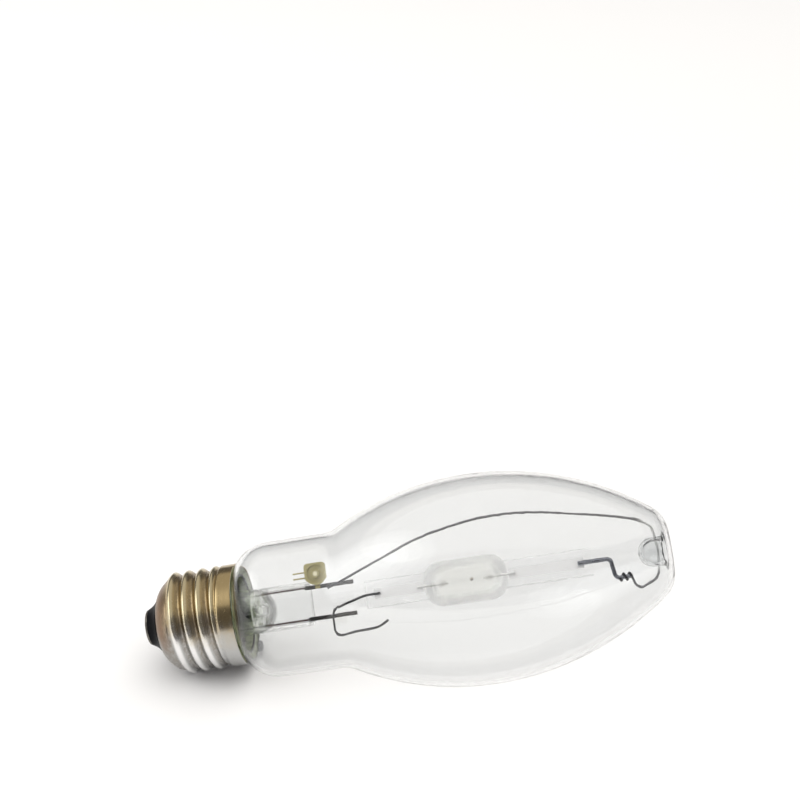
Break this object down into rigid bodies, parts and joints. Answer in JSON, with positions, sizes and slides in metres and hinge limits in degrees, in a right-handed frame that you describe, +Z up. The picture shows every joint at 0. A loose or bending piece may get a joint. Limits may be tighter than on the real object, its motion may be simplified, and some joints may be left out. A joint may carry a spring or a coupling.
{
  "type": "light bulb",
  "caption": "Clear discharge lamp at rest on its side: blown bulb with a dimpled blunt dome, quartz arc tube on a sprung wire frame, and a medium screw cap.",
  "frame": {"origin": "centre of the foot of the lamp's box, on the surface that the lamp lies on", "axes": "+Z up; +X along the floor from the screw cap towards the dome, in the upright plane of the lamp's own axis, which rises towards the dome by 11.15 degrees"},
  "size_m": [0.135, 0.0534, 0.0552],
  "materials": {
    "cap_metal": "nickel-plated brass, rolled, dulled with a warm tint",
    "cap_glass": "glossy black cast glass",
    "contact_metal": "stamped brass plate, nickel-plated",
    "solder": "solder, flowed, dull grey",
    "cement": "baked basing cement, sandy",
    "bulb_glass": "clear blown glass, fire-polished",
    "stem_glass": "clear pressed glass, faintly green",
    "post_metal": "drawn wire, oxidised dark",
    "press_metal": "copper-coated wire, dull red",
    "lead_metal": "drawn wire, bright grey",
    "frame_metal": "drawn wire, satin grey",
    "getter_metal": "pressed sheet, olive heat tint",
    "quartz": "fused quartz, clear chamber and milky pinches",
    "tungsten": "tungsten, swaged",
    "foil_metal": "molybdenum, bright",
    "dose": "liquid metal with salts"
  },
  "bodies": {
    "root": {"screw_shell": "cap_metal", "insulator": "cap_glass", "contact_plate": "contact_metal", "contact_solder": "solder", "side_solder": "solder", "basing_cement": "cement", "envelope": "bulb_glass", "stem": "stem_glass", "exhaust_tube": "stem_glass", "inner_lead_a": "post_metal", "inner_lead_b": "post_metal", "press_lead_a": "press_metal", "press_lead_b": "press_metal", "outer_lead_a": "lead_metal", "outer_lead_b": "lead_metal", "frame_wire": "frame_metal", "getter_dish": "getter_metal", "getter_tab": "getter_metal", "getter_hairpin": "getter_metal", "arc_tube": "quartz", "electrode_base": "tungsten", "electrode_dome": "tungsten", "electrode_coil_base": "tungsten", "electrode_coil_dome": "tungsten", "foil_base": "foil_metal", "foil_dome": "foil_metal", "arc_lead_base": "lead_metal", "arc_lead_dome": "foil_metal", "dose_bead": "dose"}
  },
  "joints": []
}
